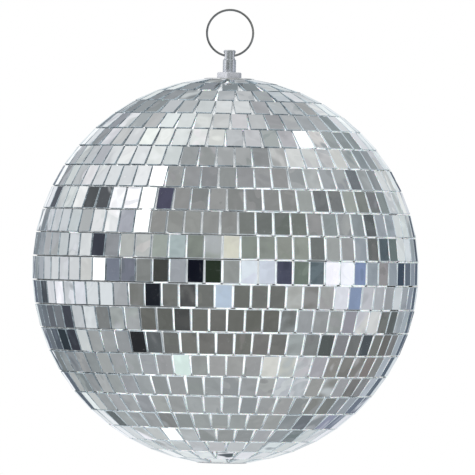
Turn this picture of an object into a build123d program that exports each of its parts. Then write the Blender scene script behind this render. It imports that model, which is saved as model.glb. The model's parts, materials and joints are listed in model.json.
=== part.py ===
from build123d import *

import math
import os
import random

# A mirror ball of 200 mm: a two-part plastic core covered with flat mirror tiles, hung from
# a post and a split ring. Millimetres, +Z up. The origin is the bearing point inside the top of
# the ring, where a hook carries it. The ring lies in the XZ plane.

os.makedirs("parts", exist_ok=True)

# ---- Driving dimensions -------------------------------------------------------------------

# Tiles and their cloth strips; radii are from the ball's centre
TILE_FACE_RADIUS = 99.8  # to the middle of a tile's face; the corners reach about 100
TILE_WIDTH = 8.2
TILE_HEIGHT = 11.7
TILE_THICKNESS = 1.2
ROWS_PER_HALF = 11
ROW_PITCH = 7.16  # degrees of latitude
EQUATOR_GAP = 0.8  # between tiles, along the row, at the edge nearer the pole
GAP_LOSS_PER_DEGREE = 0.012
LEAST_GAP = 0.28
GLUE_LINE = 0.15
STRIP_THICKNESS = 0.4

# Hand laying: how far a tile strays from its ideal place
TILT_SPREAD = 0.9  # degrees, out of the tangent plane
TWIST_SPREAD = 0.8  # degrees, in the tangent plane
SHARE_OF_GAP = 0.18  # share of the gap that a shift or a twist may use
ROW_WANDER = 0.06
LAYING_SEED = 23

# Core
CORE_RADIUS = 97.8
CORE_WALL = 2.0
LAP_DEPTH = 4.0
LAP_GAP = 0.1
POLE_SEAT = 97.3  # height of the flats at the poles
BOSS_RADIUS = 16.0
BOSS_FACE = 94.0
STEM_HOLE_RADIUS = 4.2

# Split ring
RING_INNER_RADIUS = 11.4
WIRE_RADIAL = 1.1
WIRE_AXIAL = 1.2
WIRE_CORNER = 0.25
TURN_GAP = 0.07
CROSSING_START = -29.0  # degrees from +X towards +Z
CROSSING_END = 60.0
END_SPACE = 2.0
CROSSING_SECTIONS = 9

# Post, nuts and washers
POST_TOP = 114.3  # above the ball's centre, like the heights below
CROSS_HOLE_HEIGHT = 111.15
HEAD_RADIUS = 3.15
HEAD_LENGTH = 4.9
COLLAR_RADIUS = 3.4
SHANK_RADIUS = 3.15
SHANK_END = 82.0
POST_CHAMFER = 0.5
CROSS_HOLE_RADIUS = 1.95
THREAD_PLAY = 0.05
NUT_ACROSS_FLATS = 11.8
NUT_TURN = 21.5  # degrees from a corner on +X
NUT_CHAMFER_ANGLE = 30.0
LOCK_NUT_THICKNESS = 3.1
INNER_NUT_THICKNESS = 5.0
SHANK_HOLE_RADIUS = 3.35
PLATE_RADIUS = 17.5
PLATE_THICKNESS = 1.5
WASHER_RADIUS = 9.0
WASHER_THICKNESS = 1.6
WASHER_CHAMFER = 0.3
SPRING_WASHER_RADIUS = 5.8
SPRING_WASHER_SPLIT = 1.2

# Polar covers
CAP_RADIUS = 13.1
CAP_THICKNESS = 2.3
CAP_EDGE = 0.6
STEM_RADIUS = 4.0
STEM_LENGTH = 7.0
BARB_RADIUS = 4.7
BARB_LENGTH = 1.5
BARB_TAPER = 30.0
BARB_PLAY = 0.2

# ---- Places worked out from them ----------------------------------------------------------

ring_radius = RING_INNER_RADIUS + WIRE_RADIAL / 2
ring_z = -RING_INNER_RADIUS
hinge_z = ring_z - ring_radius
turn_offset = (WIRE_AXIAL + TURN_GAP) / 2
nut_top = POLE_SEAT + CAP_THICKNESS + LOCK_NUT_THICKNESS
ball_z = hinge_z - CROSS_HOLE_HEIGHT

ball_section = Plane(origin=(0, 0, ball_z), x_dir=(1, 0, 0), z_dir=(0, -1, 0))
inner_radius = CORE_RADIUS - CORE_WALL
strip_radius = TILE_FACE_RADIUS - TILE_THICKNESS - GLUE_LINE - STRIP_THICKNESS / 2


def level(height):
    """The horizontal plane at this height above the ball's centre."""
    return Plane.XY.offset(ball_z + height)


def save(piece, name):
    """Labels a finished piece and writes it as its own node."""
    piece.part.label = name
    export_step(piece.part, f"parts/{name}.step")


# ---- Mirror tiles on their strips ---------------------------------------------------------

laying = random.Random(LAYING_SEED)


def tiles_in_row(latitude):
    """How many tiles the row holds, and the gap left beside each at the edge nearer the pole."""
    tilt = math.radians(abs(latitude))
    back_radius = TILE_FACE_RADIUS - TILE_THICKNESS
    edge_radius = back_radius * math.cos(tilt) - TILE_HEIGHT / 2 * math.sin(tilt)
    wanted_gap = max(LEAST_GAP, EQUATOR_GAP - GAP_LOSS_PER_DEGREE * abs(latitude))
    count = round(math.tau * edge_radius / (TILE_WIDTH + wanted_gap))
    free_angle = math.tau / count - 2 * math.atan(TILE_WIDTH / 2 / edge_radius)
    return count, free_angle * edge_radius


def tile_places(latitude):
    """One location for each tile of the row, on its outer face, each laid a little unevenly."""
    count, gap = tiles_in_row(latitude)
    stray = SHARE_OF_GAP * gap
    twist_limit = min(TWIST_SPREAD, math.degrees(stray / (TILE_HEIGHT / 2)))
    start = laying.uniform(0, 360 / count)
    places = []
    for index in range(count):
        longitude = math.radians(start + 360 * index / count)
        east = (-math.sin(longitude), math.cos(longitude), 0)
        outward = (
            math.cos(longitude) * math.cos(math.radians(latitude)),
            math.sin(longitude) * math.cos(math.radians(latitude)),
            math.sin(math.radians(latitude)),
        )
        tangent = Plane(origin=(0, 0, ball_z), x_dir=east, z_dir=outward)
        shift = Pos(
            laying.uniform(-stray, stray),
            laying.uniform(-ROW_WANDER, ROW_WANDER),
            TILE_FACE_RADIUS,
        )
        lean = Rotation(
            laying.uniform(-TILT_SPREAD, TILT_SPREAD),
            laying.uniform(-TILT_SPREAD, TILT_SPREAD),
            laying.uniform(-twist_limit, twist_limit),
        )
        places.append(tangent.location * shift * lean)
    return places


tile_total = 0
for row_number in range(1, 2 * ROWS_PER_HALF + 2):
    latitude = (ROWS_PER_HALF + 1 - row_number) * ROW_PITCH
    tile_spots = tile_places(latitude)
    tile_total += len(tile_spots)

    with BuildPart() as mirror_row:
        with Locations(*tile_spots):
            Box(
                TILE_WIDTH,
                TILE_HEIGHT,
                TILE_THICKNESS,
                align=(Align.CENTER, Align.CENTER, Align.MAX),
            )
    save(mirror_row, f"mirror_row_{row_number:02d}")

    tilt = math.radians(latitude)
    with BuildPart() as backing_strip:
        with BuildSketch(ball_section):
            with Locations((strip_radius * math.cos(tilt), strip_radius * math.sin(tilt))):
                Rectangle(STRIP_THICKNESS, TILE_HEIGHT, rotation=latitude)
        revolve(axis=Axis.Z)
    save(backing_strip, f"backing_strip_{row_number:02d}")

# ---- Core: two hemispheres that lap at the equator ----------------------------------------

lap_radius = inner_radius + CORE_WALL / 2


def on_sphere(radius, height):
    """The point of a sphere's section at this height, on the side of positive X."""
    return (math.sqrt(radius**2 - height**2), height)


def angle_at(radius, height):
    """The latitude of a sphere at this height, in degrees."""
    return math.degrees(math.asin(height / radius))


with BuildPart() as upper_shell:
    with BuildSketch(ball_section):
        with BuildLine():
            outer_top = angle_at(CORE_RADIUS, POLE_SEAT)
            boss_top = math.sqrt(inner_radius**2 - BOSS_RADIUS**2)
            CenterArc((0, 0), CORE_RADIUS, 0, outer_top)
            Polyline(
                on_sphere(CORE_RADIUS, POLE_SEAT),
                (SHANK_HOLE_RADIUS, POLE_SEAT),
                (SHANK_HOLE_RADIUS, BOSS_FACE),
                (BOSS_RADIUS, BOSS_FACE),
                (BOSS_RADIUS, boss_top),
            )
            CenterArc((0, 0), inner_radius, 0, angle_at(inner_radius, boss_top))
            Polyline(
                (inner_radius, 0),
                (inner_radius, -LAP_DEPTH),
                (lap_radius - LAP_GAP, -LAP_DEPTH),
                (lap_radius - LAP_GAP, 0),
                (CORE_RADIUS, 0),
            )
        make_face()
    revolve(axis=Axis.Z)
save(upper_shell, "upper_shell")

rebate_floor = -(LAP_DEPTH + LAP_GAP)
with BuildPart() as lower_shell:
    with BuildSketch(ball_section):
        with BuildLine():
            outer_end = angle_at(CORE_RADIUS, -POLE_SEAT)
            seat_inside = math.sqrt(inner_radius**2 - STEM_HOLE_RADIUS**2)
            inner_start = angle_at(inner_radius, rebate_floor)
            inner_end = angle_at(inner_radius, -seat_inside)
            CenterArc((0, 0), CORE_RADIUS, 0, outer_end)
            Polyline(
                on_sphere(CORE_RADIUS, -POLE_SEAT),
                (STEM_HOLE_RADIUS, -POLE_SEAT),
                (STEM_HOLE_RADIUS, -seat_inside),
            )
            CenterArc((0, 0), inner_radius, inner_start, inner_end - inner_start)
            Polyline(
                on_sphere(inner_radius, rebate_floor),
                (lap_radius, rebate_floor),
                (lap_radius, 0),
                (CORE_RADIUS, 0),
            )
        make_face()
    revolve(axis=Axis.Z)
save(lower_shell, "lower_shell")

# ---- Covers at the two poles --------------------------------------------------------------

with BuildPart() as top_cap:
    with BuildSketch(level(POLE_SEAT)):
        Circle(CAP_RADIUS)
        Circle(SHANK_HOLE_RADIUS, mode=Mode.SUBTRACT)
    extrude(amount=CAP_THICKNESS)
    rim = top_cap.edges().filter_by(GeomType.CIRCLE).group_by(Axis.Z)[-1].sort_by(SortBy.RADIUS)[-1]
    fillet(rim, radius=CAP_EDGE)
save(top_cap, "top_cap")

# A push-in button: a round cover, a stem and a barb that holds behind the core's wall
barb_start = BARB_PLAY - seat_inside
with BuildPart() as bottom_plug:
    with BuildSketch(level(-POLE_SEAT)):
        Circle(CAP_RADIUS)
    extrude(amount=-CAP_THICKNESS)
    low_rim = bottom_plug.edges().filter_by(GeomType.CIRCLE).sort_by(Axis.Z)[0]
    fillet(low_rim, radius=CAP_EDGE)
    with BuildSketch(level(-POLE_SEAT)):
        Circle(STEM_RADIUS)
    extrude(amount=STEM_LENGTH)
    with BuildSketch(level(barb_start)):
        Circle(BARB_RADIUS)
    extrude(amount=BARB_LENGTH, taper=BARB_TAPER)
save(bottom_plug, "bottom_plug")

# ---- Post with its cross hole -------------------------------------------------------------

head_end = POST_TOP - HEAD_LENGTH
shoulder = COLLAR_RADIUS - HEAD_RADIUS
with BuildPart() as hanger_post:
    with BuildSketch(ball_section):
        with BuildLine():
            Polyline(
                (0, POST_TOP),
                (HEAD_RADIUS - POST_CHAMFER, POST_TOP),
                (HEAD_RADIUS, POST_TOP - POST_CHAMFER),
                (HEAD_RADIUS, head_end),
                (COLLAR_RADIUS, head_end - shoulder),
                (COLLAR_RADIUS, nut_top),
                (SHANK_RADIUS, nut_top),
                (SHANK_RADIUS, SHANK_END + POST_CHAMFER),
                (SHANK_RADIUS - POST_CHAMFER, SHANK_END),
                (0, SHANK_END),
                close=True,
            )
        make_face()
    revolve(axis=Axis.Z)
    with BuildSketch(Plane.YZ):
        with Locations((0, hinge_z)):
            Circle(CROSS_HOLE_RADIUS)
    extrude(amount=2 * COLLAR_RADIUS, both=True, mode=Mode.SUBTRACT)
save(hanger_post, "hanger_post")

# ---- Nuts and washers, stacked against the core from both sides ---------------------------

corner_radius = NUT_ACROSS_FLATS / 2 / math.cos(math.radians(30))
chamfer_width = corner_radius - NUT_ACROSS_FLATS / 2
chamfer_depth = chamfer_width * math.tan(math.radians(NUT_CHAMFER_ANGLE))


def hex_nut(bottom, thickness, turn, both_ends):
    """A hexagon nut cut from a blank that is turned to a cone at its top, or at both ends."""
    low_width = chamfer_width if both_ends else 0
    low_depth = chamfer_depth if both_ends else 0
    top = bottom + thickness
    bore_radius = SHANK_RADIUS + THREAD_PLAY
    blank = (
        (bore_radius, bottom),
        (corner_radius - low_width, bottom),
        (corner_radius, bottom + low_depth),
        (corner_radius, top - chamfer_depth),
        (corner_radius - chamfer_width, top),
        (bore_radius, top),
    )
    outline = [point for index, point in enumerate(blank) if point != blank[index - 1]]
    with BuildPart() as nut:
        with BuildSketch(ball_section):
            with BuildLine():
                Polyline(*outline, close=True)
            make_face()
        revolve(axis=Axis.Z)
        with BuildSketch(level(bottom)):
            RegularPolygon(corner_radius, 6, rotation=turn)
        extrude(amount=thickness, mode=Mode.INTERSECT)
    return nut


lock_nut = hex_nut(nut_top - LOCK_NUT_THICKNESS, LOCK_NUT_THICKNESS, NUT_TURN, both_ends=False)
save(lock_nut, "lock_nut")

plate_bottom = BOSS_FACE - PLATE_THICKNESS
with BuildPart() as inner_plate:
    with BuildSketch(level(plate_bottom)):
        Circle(PLATE_RADIUS)
        Circle(SHANK_HOLE_RADIUS, mode=Mode.SUBTRACT)
    extrude(amount=PLATE_THICKNESS)
save(inner_plate, "inner_plate")

washer_bottom = plate_bottom - WASHER_THICKNESS
with BuildPart() as flat_washer:
    with BuildSketch(level(washer_bottom)):
        Circle(WASHER_RADIUS)
        Circle(SHANK_HOLE_RADIUS, mode=Mode.SUBTRACT)
    extrude(amount=WASHER_THICKNESS)
    chamfer(flat_washer.faces().sort_by(Axis.Z)[0].outer_wire().edges(), length=WASHER_CHAMFER)
save(flat_washer, "flat_washer")

spring_bottom = washer_bottom - WASHER_THICKNESS
with BuildPart() as spring_washer:
    with BuildSketch(level(spring_bottom)):
        Circle(SPRING_WASHER_RADIUS)
        Circle(SHANK_HOLE_RADIUS, mode=Mode.SUBTRACT)
        with Locations((SPRING_WASHER_RADIUS, 0)):
            Rectangle(SPRING_WASHER_RADIUS, SPRING_WASHER_SPLIT, mode=Mode.SUBTRACT)
    extrude(amount=WASHER_THICKNESS)
save(spring_washer, "spring_washer")

inner_nut = hex_nut(spring_bottom - INNER_NUT_THICKNESS, INNER_NUT_THICKNESS, 0, both_ends=True)
save(inner_nut, "inner_nut")

# ---- Hanging ring: one flat wire wound twice, crossing between its turns on one side ------

ring_axis = Axis((0, 0, ring_z), (0, -1, 0))
turn_arc = 360 - (CROSSING_END - CROSSING_START) - END_SPACE


def wire_section(angle, offset):
    """The plane across the wire at an angle round the ring, with an offset along its axis."""
    turn = math.radians(angle)
    radial = (math.cos(turn), 0, math.sin(turn))
    along = (-math.sin(turn), 0, math.cos(turn))
    centre = (ring_radius * radial[0], offset, ring_z + ring_radius * radial[2])
    return Plane(origin=centre, x_dir=radial, z_dir=along)


def crossing_offset(share):
    """Eases the wire from the front turn to the back turn as share goes from 0 to 1."""
    return turn_offset * (2 * share**2 * (3 - 2 * share) - 1)


with BuildPart() as hanging_ring:
    with BuildSketch(wire_section(CROSSING_END + END_SPACE, -turn_offset)):
        RectangleRounded(WIRE_RADIAL, WIRE_AXIAL, WIRE_CORNER)
    revolve(axis=ring_axis, revolution_arc=turn_arc)
    with BuildSketch(wire_section(CROSSING_END, turn_offset)):
        RectangleRounded(WIRE_RADIAL, WIRE_AXIAL, WIRE_CORNER)
    revolve(axis=ring_axis, revolution_arc=turn_arc)
    for step in range(CROSSING_SECTIONS):
        share = step / (CROSSING_SECTIONS - 1)
        angle = CROSSING_START + share * (CROSSING_END - CROSSING_START)
        with BuildSketch(wire_section(angle, crossing_offset(share))):
            RectangleRounded(WIRE_RADIAL, WIRE_AXIAL, WIRE_CORNER)
    loft()
save(hanging_ring, "hanging_ring")

print(f"{tile_total} tiles, ball centre at z {ball_z:.2f}, hinge at z {hinge_z:.2f}")
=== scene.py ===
import json
import math
import random

import bmesh
import bpy
from mathutils import Matrix, Vector


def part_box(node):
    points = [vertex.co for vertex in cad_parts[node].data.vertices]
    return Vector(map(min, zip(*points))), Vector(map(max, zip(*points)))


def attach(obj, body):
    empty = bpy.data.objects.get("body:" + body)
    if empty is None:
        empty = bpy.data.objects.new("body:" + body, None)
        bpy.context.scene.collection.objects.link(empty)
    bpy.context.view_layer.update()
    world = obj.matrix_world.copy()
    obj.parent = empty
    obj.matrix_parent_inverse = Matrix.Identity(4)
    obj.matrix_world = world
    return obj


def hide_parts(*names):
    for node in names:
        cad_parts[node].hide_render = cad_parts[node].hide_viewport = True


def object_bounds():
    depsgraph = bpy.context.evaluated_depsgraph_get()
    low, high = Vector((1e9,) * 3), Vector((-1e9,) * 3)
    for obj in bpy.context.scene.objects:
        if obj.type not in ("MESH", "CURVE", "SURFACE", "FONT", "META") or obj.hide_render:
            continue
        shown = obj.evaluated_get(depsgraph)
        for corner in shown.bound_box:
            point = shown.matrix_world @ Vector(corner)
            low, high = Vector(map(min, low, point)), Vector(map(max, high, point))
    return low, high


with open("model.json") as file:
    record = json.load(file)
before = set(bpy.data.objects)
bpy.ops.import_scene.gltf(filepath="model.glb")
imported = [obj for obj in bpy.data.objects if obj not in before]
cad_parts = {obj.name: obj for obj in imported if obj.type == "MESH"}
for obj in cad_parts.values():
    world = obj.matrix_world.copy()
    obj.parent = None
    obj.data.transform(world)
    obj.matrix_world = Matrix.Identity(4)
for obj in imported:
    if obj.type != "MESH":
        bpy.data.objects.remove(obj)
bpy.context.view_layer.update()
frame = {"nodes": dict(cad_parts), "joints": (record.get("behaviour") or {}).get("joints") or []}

# A mirror ball in a white studio. Lengths are in metres unless a name says otherwise.

MM = 0.001
SAME_POINT = 1e-6
ROWS = 23
scene = bpy.context.scene
nodes = frame["nodes"]

equator_low, equator_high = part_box("backing_strip_12")
BALL_CENTRE = (equator_low + equator_high) / 2


# ---- Helpers ------------------------------------------------------------------------------


class Graph:
    """Adds nodes to a tree and links them, so that a shader reads as formulas."""

    def __init__(self, tree):
        self.tree = tree

    def node(self, kind, inputs=None, **settings):
        made = self.tree.nodes.new(kind)
        for key, value in settings.items():
            setattr(made, key, value)
        for key, value in (inputs or {}).items():
            self.feed(made.inputs[key], value)
        return made

    def feed(self, socket, value):
        if isinstance(value, bpy.types.NodeSocket):
            self.tree.links.new(value, socket)
        else:
            socket.default_value = value

    def math(self, operation, *values):
        return self.node("ShaderNodeMath", dict(enumerate(values)), operation=operation).outputs[0]

    def mix(self, factor, first, second, blend="MIX"):
        inputs = {"Factor": factor, 6: first, 7: second}
        made = self.node("ShaderNodeMix", inputs, data_type="RGBA", blend_type=blend)
        return made.outputs[2]

    def ramp(self, value, low, high, to_low=0.0, to_high=1.0):
        """Maps low..high smoothly to to_low..to_high and holds it there at both ends, as a smooth
        step does. The node's own clamp is off: with it the room is more than Cycles can hold."""
        inputs = {"Value": value, "From Min": low, "From Max": high}
        inputs.update({"To Min": to_low, "To Max": to_high})
        settings = {"interpolation_type": "SMOOTHSTEP", "clamp": False}
        return self.node("ShaderNodeMapRange", inputs, **settings).outputs[0]

    def noise(self, vector, scale, detail=2.0, roughness=0.5, colour=False):
        inputs = {"Vector": vector, "Scale": scale, "Detail": detail, "Roughness": roughness}
        return self.node("ShaderNodeTexNoise", inputs).outputs["Color" if colour else "Fac"]

    def place(self, stretch=(1.0, 1.0, 1.0)):
        """The point on the piece, with its coordinates stretched."""
        point = self.node("ShaderNodeTexCoord").outputs["Object"]
        if stretch == (1.0, 1.0, 1.0):
            return point
        return self.node("ShaderNodeMapping", {"Vector": point, "Scale": stretch}).outputs[0]

    def split(self, vector):
        """The vector's X, Y and Z."""
        return self.node("ShaderNodeSeparateXYZ", {0: vector}).outputs

    def dress(self, shader, colour, roughness, relief=None, strength=1.0, depth=0.0):
        """Sets a shader's colour and roughness, and its bump from a relief this deep."""
        self.feed(shader.inputs["Base Color"], colour)
        self.feed(shader.inputs["Roughness"], roughness)
        if relief is not None:
            inputs = {"Height": relief, "Strength": strength, "Distance": depth}
            self.feed(shader.inputs["Normal"], self.node("ShaderNodeBump", inputs).outputs[0])


def new_material(name):
    """A material, the graph of its nodes, and its Principled shader."""
    material = bpy.data.materials.new(name)
    material.use_nodes = True
    return material, Graph(material.node_tree), material.node_tree.nodes["Principled BSDF"]


def grey(level):
    return (level, level, level, 1)


def held(value, low, high):
    return max(low, min(high, value))


def between(pair, share):
    return pair[0] + (pair[1] - pair[0]) * share


def eased(share):
    """A share from 0 to 1 that starts and ends gently."""
    return share * share * (3 - 2 * share)


# The glue was spread thickest low down and to the right. The same cover paints the glass edges
# paler there, as painted light.
COVER_RIGHT = 15.0  # per metre from the ball's centre
COVER_DOWN = 10.0
COVER_FROM = -0.9  # where the sum of the two starts to count, and where it counts in full
COVER_TO = 0.3


def glue_cover(point):
    """How thick the glue in the joints is at a point of the ball, from 0 to 1."""
    reach = COVER_RIGHT * (point.x - BALL_CENTRE.x) + COVER_DOWN * (BALL_CENTRE.z - point.z)
    return eased(held((reach - COVER_FROM) / (COVER_TO - COVER_FROM), 0.0, 1.0))


def glue_and_painted_light_cover_nodes(g, place):
    """The same cover as glue_cover, for a shader. It spreads the dust on the mirrors and the
    painted light on the glass edges.
    """
    axes = g.split(place)
    right = g.math("MULTIPLY", g.math("SUBTRACT", axes["X"], BALL_CENTRE.x), COVER_RIGHT)
    down = g.math("MULTIPLY", g.math("SUBTRACT", BALL_CENTRE.z, axes["Z"]), COVER_DOWN)
    return g.ramp(g.math("ADD", right, down), COVER_FROM, COVER_TO)


# ---- Materials ----------------------------------------------------------------------------


def mirror_face_material():
    """Silvered flat glass: faint waves, a film of dust, and a different tint on each tile."""
    material, g, shader = new_material("mirror_face")
    place = g.place()
    island = g.node("ShaderNodeNewGeometry").outputs["Random Per Island"]
    tint = g.mix(island, (0.84, 0.86, 0.855, 1), (0.93, 0.925, 0.915, 1))
    film = g.ramp(g.noise(place, 190.0, 3.0, 0.6), 0.42, 0.72)
    speck = g.ramp(g.noise(place, 2500.0, 2.0, 0.7), 0.665, 0.75)
    dust = g.math("MULTIPLY", speck, g.math("ADD", film, 0.25))
    dust = g.math("MULTIPLY", dust, g.ramp(glue_and_painted_light_cover_nodes(g, place), 0.0, 1.0, 0.3, 1.2))
    colour = g.mix(dust, tint, (0.80, 0.83, 0.90, 1))
    waves = g.noise(place, 78.0, 1.0)
    g.dress(shader, colour, g.ramp(film, 0.0, 1.0, 0.015, 0.06), waves, 0.8, 0.0003)
    g.feed(shader.inputs["Metallic"], g.ramp(dust, 0.0, 1.0, 1.0, 0.3))
    return material


def glass_edge_material():
    """The cut edge of a tile: glass, blue grey in the joint, with paler ground streaks. Low down
    and to the right it is painted paler: partly glue smeared on it, partly painted light.
    """
    material, g, shader = new_material("glass_edge")
    place = g.place()
    grain = g.noise(place, 1500.0, 3.0, 0.65)
    patch = g.ramp(g.noise(place, 240.0, 2.0), 0.35, 0.65)
    island = g.node("ShaderNodeNewGeometry").outputs["Random Per Island"]
    ground = g.mix(patch, (0.11, 0.14, 0.165, 1), (0.27, 0.33, 0.37, 1))
    ground = g.mix(g.ramp(island, 0.4, 1.0, 0.0, 0.3), ground, (0.54, 0.61, 0.64, 1))
    # Painted light: low down and to the right the edges turn pale, partly for glue smeared on them
    # and partly for the light that falls on them there.
    edge_glue_and_painted_light = g.ramp(glue_and_painted_light_cover_nodes(g, place), 0.3, 1.0, 0.0, 0.7)
    ground = g.mix(edge_glue_and_painted_light, ground, (0.68, 0.75, 0.79, 1))
    colour = g.mix(g.ramp(grain, 0.5, 0.8), ground, (0.66, 0.71, 0.73, 1))
    g.dress(shader, colour, g.ramp(grain, 0.3, 0.7, 0.2, 0.5), grain, 0.4, 0.00008)
    shader.inputs["IOR"].default_value = 1.52
    return material


def tile_back_material():
    """The grey protective paint on the back of the silvering."""
    material, g, shader = new_material("tile_back_paint")
    mottle = g.noise(g.place(), 700.0, 3.0, 0.6)
    colour = g.mix(mottle, (0.16, 0.17, 0.18, 1), (0.24, 0.25, 0.26, 1))
    g.dress(shader, colour, g.ramp(mottle, 0.3, 0.7, 0.5, 0.7))
    return material


WARP_THREADS = 860  # round the ball
WEFT_PITCH = 1.1 * MM  # of two threads


def backing_material():
    """White net strip with dried glue: a weave in angle and height, and glossy glue patches."""
    material, g, shader = new_material("backing_net")
    place = g.place()
    axes = g.split(place)
    turn = g.math("ARCTAN2", axes["X"], axes["Y"])
    across = g.math("MULTIPLY", turn, WARP_THREADS / 2)
    along = g.math("MULTIPLY", axes["Z"], math.tau / WEFT_PITCH)
    warp = g.math("ABSOLUTE", g.math("SINE", across))
    weft = g.math("ABSOLUTE", g.math("SINE", along))
    thread = g.math("MAXIMUM", warp, weft)
    glue = g.ramp(g.noise(place, 210.0, 3.0, 0.6), 0.36, 0.6)
    cloth = g.mix(g.ramp(thread, 0.45, 0.95), (0.50, 0.54, 0.56, 1), (0.88, 0.90, 0.91, 1))
    colour = g.mix(glue, cloth, (0.95, 0.955, 0.95, 1))
    relief = g.math("ADD", g.math("MULTIPLY", thread, 0.5), glue)
    g.dress(shader, colour, g.ramp(glue, 0.0, 1.0, 0.85, 0.35), relief, 0.5, 0.0001)
    return material


def glue_material():
    """Dried white glue: slightly translucent, smooth on its crowns, with small dull pits."""
    material, g, shader = new_material("dried_glue")
    place = g.place()
    pits = g.noise(place, 1900.0, 3.0, 0.6)
    patch = g.noise(place, 160.0, 2.0)
    colour = g.mix(patch, (0.84, 0.88, 0.90, 1), (0.97, 0.975, 0.96, 1))
    g.dress(shader, colour, g.ramp(pits, 0.35, 0.7, 0.22, 0.6), pits, 0.35, 0.00006)
    shader.inputs["Subsurface Weight"].default_value = 0.15
    shader.inputs["Subsurface Scale"].default_value = 0.0006
    return material


def core_material():
    """Moulded grey plastic: a fine spark-eroded grain, flow marks and dust in the gaps."""
    material, g, shader = new_material("core_plastic")
    place = g.place()
    grain = g.noise(place, 2400.0, 2.0, 0.6)
    flow = g.noise(g.place((18.0, 18.0, 70.0)), 1.0, 3.0, 0.6)
    dust = g.ramp(g.noise(place, 300.0, 4.0, 0.7), 0.5, 0.75, 0.0, 0.5)
    body = g.mix(flow, (0.105, 0.112, 0.118, 1), (0.155, 0.162, 0.168, 1))
    colour = g.mix(dust, body, (0.34, 0.34, 0.33, 1))
    g.dress(shader, colour, g.ramp(grain, 0.3, 0.7, 0.42, 0.62), grain, 0.3, 0.00008)
    return material


def plug_material():
    """Silver grey moulded plastic: a fine grain, metallic flake, and a face rubbed a little."""
    material, g, shader = new_material("plug_plastic")
    place = g.place()
    grain = g.noise(place, 2600.0, 2.0, 0.6)
    rub = g.ramp(g.noise(place, 130.0, 5.0, 0.7), 0.52, 0.7)
    swirl = g.noise(g.place((60.0, 25.0, 60.0)), 1.0, 3.0)
    body = g.mix(swirl, (0.50, 0.52, 0.54, 1), (0.60, 0.62, 0.64, 1))
    flake = g.ramp(g.noise(place, 5200.0, 1.0), 0.6, 0.72, 0.0, 0.5)
    body = g.mix(flake, body, (0.80, 0.81, 0.82, 1))
    colour = g.mix(g.math("MULTIPLY", rub, 0.4), body, grey(0.66))
    g.dress(shader, colour, g.ramp(rub, 0.0, 1.0, 0.42, 0.27), grain, 0.35, 0.00008)
    shader.inputs["Metallic"].default_value = 0.35
    return material


QUARTER_TURN = 0.25  # reflections spread across the tool marks, which run round the part
HANDLED_SHARE = 0.35  # how far handling dulls the tone
HANDLED_ROUGHNESS = 0.08
MARK_STRENGTH = 0.25
TURNED_MARK_STRENGTH = 0.08
MARK_DEPTH = 0.03 * MM


def metal_material(name, tone, dull_tone, roughness, marks, metallic=1.0, turned=0.0):
    """Bare or plated metal. Its tool marks are noise stretched by `marks`; its tone drifts, and
    handling leaves faint dull patches. `turned` draws reflections out along a turned part."""
    material, g, shader = new_material(name)
    place = g.place()
    lines = g.noise(g.place(marks), 1.0, 3.0, 0.7)
    handled = g.ramp(g.noise(place, 420.0, 4.0, 0.65), 0.5, 0.75)
    drift = g.noise(place, 150.0, 2.0)
    colour = g.mix(drift, (*tone, 1), (*dull_tone, 1))
    colour = g.mix(g.math("MULTIPLY", handled, HANDLED_SHARE), colour, (*dull_tone, 1))
    shader.inputs["Metallic"].default_value = metallic
    if turned:
        shader.inputs["Anisotropic"].default_value = turned
        shader.inputs["Anisotropic Rotation"].default_value = QUARTER_TURN
        round_axis = g.node("ShaderNodeTangent", direction_type="RADIAL", axis="Z")
        g.feed(shader.inputs["Tangent"], round_axis.outputs[0])
    streak = g.math("MULTIPLY", lines, roughness * 0.5)
    wear = g.math("MULTIPLY", handled, HANDLED_ROUGHNESS)
    total = g.math("ADD", g.math("ADD", streak, wear), roughness * 0.75)
    strength = TURNED_MARK_STRENGTH if turned else MARK_STRENGTH
    g.dress(shader, colour, total, lines, strength, MARK_DEPTH)
    return material


MIRROR = mirror_face_material()
EDGE = glass_edge_material()
BACK = tile_back_material()
NET = backing_material()
GLUE = glue_material()
CORE = core_material()
PLUG = plug_material()
CHROME = metal_material(
    "post_chrome", (0.90, 0.91, 0.94), (0.82, 0.84, 0.87), 0.30, (180, 180, 5200), turned=0.9
)
NUT_PLATE = metal_material(
    "nut_chrome", (0.76, 0.76, 0.80), (0.66, 0.67, 0.71), 0.50, (300, 300, 4200), metallic=0.65
)
CAP_PLATE = metal_material(
    "cap_nickel", (0.92, 0.92, 0.92), (0.84, 0.84, 0.84), 0.16, (3800, 240, 240)
)
SPRING_STEEL = metal_material(
    "ring_steel", (0.52, 0.52, 0.525), (0.30, 0.30, 0.305), 0.20, (900, 2600, 900)
)
ZINC = metal_material("inner_zinc", (0.62, 0.63, 0.60), (0.48, 0.49, 0.46), 0.38, (500, 500, 3000))


def coat(node, material):
    """Gives a carried-over CAD node its material."""
    data = nodes[node].data
    data.materials.clear()
    data.materials.append(material)


# ---- Meshes -------------------------------------------------------------------------------


def add_piece(name, mesh, materials, body, replaced=(), smooth_below=None):
    """Turns a bmesh into a piece that rides on a body and stands for the replaced nodes."""
    bmesh.ops.recalc_face_normals(mesh, faces=mesh.faces)
    data = bpy.data.meshes.new(name)
    mesh.to_mesh(data)
    mesh.free()
    if smooth_below is not None:
        data.shade_smooth()
        data.set_sharp_from_angle(angle=math.radians(smooth_below))
    for material in materials:
        data.materials.append(material)
    piece = bpy.data.objects.new(name, data)
    scene.collection.objects.link(piece)
    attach(piece, body)
    if replaced:
        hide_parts(*replaced)
    return piece


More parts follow.
